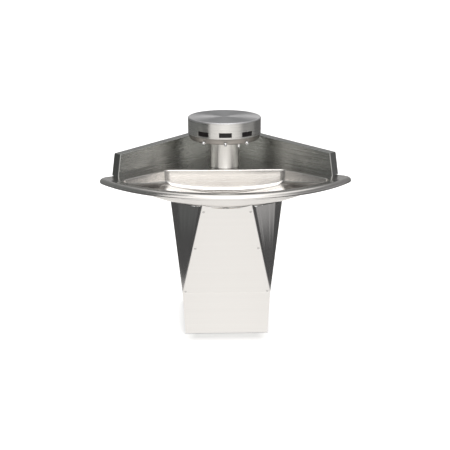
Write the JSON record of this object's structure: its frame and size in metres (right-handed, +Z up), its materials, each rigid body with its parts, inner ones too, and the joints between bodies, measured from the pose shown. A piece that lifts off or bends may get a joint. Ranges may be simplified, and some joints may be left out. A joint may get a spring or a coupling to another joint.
{
  "type": "corner wash fountain",
  "caption": "Stainless corner wash fountain: quarter-round bowl with boxed backsplash, round sprayhead on a column with infrared sensor stations, faceted pedestal hiding valves and trap.",
  "frame": {"origin": "on the floor, under the middle of the bowl's plan box", "axes": "+Z up, users stand at -Y, the room corner is at +Y, +X to the user's right"},
  "size_m": [1.358, 1.0718, 1.1355],
  "materials": {
    "bowl_steel": "satin brushed stainless steel",
    "splash_steel": "satin brushed stainless steel",
    "side_steel": "satin brushed stainless steel",
    "panel_steel": "satin brushed stainless steel",
    "column_steel": "satin brushed stainless steel",
    "head_steel": "satin brushed stainless steel",
    "lid_steel": "satin brushed stainless steel",
    "screw_steel": "plain stainless steel",
    "zinc_steel": "zinc plated steel",
    "chrome": "polished chrome",
    "brass": "machined brass",
    "sensor_lens": "dark infrared acrylic",
    "black_plastic": "moulded black plastic",
    "grey_plastic": "moulded grey plastic",
    "coil_plastic": "potted coil",
    "clear_tube": "natural polyethylene tube",
    "tank_plastic": "natural polyethylene",
    "rubber": "black rubber",
    "handle_red": "vinyl dipped",
    "handle_blue": "vinyl dipped",
    "braid": "braided stainless sleeve",
    "board": "circuit board"
  },
  "bodies": {
    "root": {"access_panel": "panel_steel", "aerators": "grey_plastic", "backsplash_left": "splash_steel", "backsplash_right": "splash_steel", "bowl": "bowl_steel", "circuit_board": "board", "column": "column_steel", "column_clamp_ring": "zinc_steel", "column_studs": "screw_steel", "control_box": "grey_plastic", "control_cover": "grey_plastic", "drain_body": "chrome", "drain_gasket": "rubber", "drain_nut": "brass", "equipment_plate": "zinc_steel", "head_base": "head_steel", "head_shell": "head_steel", "kick_panel": "panel_steel", "mixing_valve": "brass", "panel_nuts": "zinc_steel", "panel_screws": "screw_steel", "pedestal_frame": "zinc_steel", "sensor_modules": "black_plastic", "sensor_window_centre": "sensor_lens", "sensor_window_left": "sensor_lens", "sensor_window_right": "sensor_lens", "side_panel_left": "side_steel", "side_panel_right": "side_steel", "soap_pump": "grey_plastic", "soap_spout": "chrome", "soap_tank": "tank_plastic", "soap_tube": "clear_tube", "solenoid_bodies": "black_plastic", "solenoid_coils": "coil_plastic", "spray_nozzle_centre": "chrome", "spray_nozzle_left": "chrome", "spray_nozzle_right": "chrome", "spray_tubes": "clear_tube", "stop_valve_cold": "brass", "stop_valve_hot": "brass", "supply_hose_cold": "braid", "supply_hose_hot": "braid", "tailpiece": "chrome", "trap_arm": "chrome", "trap_bend": "chrome", "trap_slip_nuts": "brass", "valve_manifold": "brass", "wall_bracket_left": "zinc_steel", "wall_bracket_right": "zinc_steel", "wall_collars": "chrome"},
    "strainer": {"drain_strainer": "chrome"},
    "lid": {"head_lid": "lid_steel"},
    "hot_handle": {"stop_handle_hot": "handle_red"},
    "cold_handle": {"stop_handle_cold": "handle_blue"},
    "mixer_knob": {"mixing_knob": "black_plastic"},
    "left_plunger": {"solenoid_plunger_left": "screw_steel"},
    "centre_plunger": {"solenoid_plunger_centre": "screw_steel"},
    "right_plunger": {"solenoid_plunger_right": "screw_steel"},
    "soap_filler_cap": {"soap_cap": "black_plastic"}
  },
  "joints": [
    {"name": "strainer_lift", "type": "slide", "parent": "root", "child": "strainer", "axis": [0, 0, 1], "range_m": [0, 0.06]},
    {"name": "lid_lift", "type": "slide", "parent": "root", "child": "lid", "axis": [0, 0, 1], "range_m": [0, 0.08]},
    {"name": "hot_stop_turn", "type": "hinge", "parent": "root", "child": "hot_handle", "pos_m": [-0.14991, 0.30407, 0.29], "axis": [0, 0, 1], "range_deg": [0, 90]},
    {"name": "cold_stop_turn", "type": "hinge", "parent": "root", "child": "cold_handle", "pos_m": [-0.06505, 0.38892, 0.29], "axis": [0, 0, 1], "range_deg": [0, 90]},
    {"name": "temperature_turn", "type": "hinge", "parent": "root", "child": "mixer_knob", "pos_m": [-0.07, 0.107, 0.53], "axis": [0, -1, 0], "range_deg": [0, 270]},
    {"name": "left_plunger_pull", "type": "slide", "parent": "root", "child": "left_plunger", "axis": [0, -1, 0], "range_m": [0, 0.003], "stiffness_N_per_m": 300, "springref_m": -0.002},
    {"name": "centre_plunger_pull", "type": "slide", "parent": "root", "child": "centre_plunger", "axis": [0, -1, 0], "range_m": [0, 0.003], "stiffness_N_per_m": 300, "springref_m": -0.002},
    {"name": "right_plunger_pull", "type": "slide", "parent": "root", "child": "right_plunger", "axis": [0, -1, 0], "range_m": [0, 0.003], "stiffness_N_per_m": 300, "springref_m": -0.002},
    {"name": "soap_cap_lift", "type": "slide", "parent": "root", "child": "soap_filler_cap", "axis": [0, 0, 1], "range_m": [0, 0.05]}
  ]
}
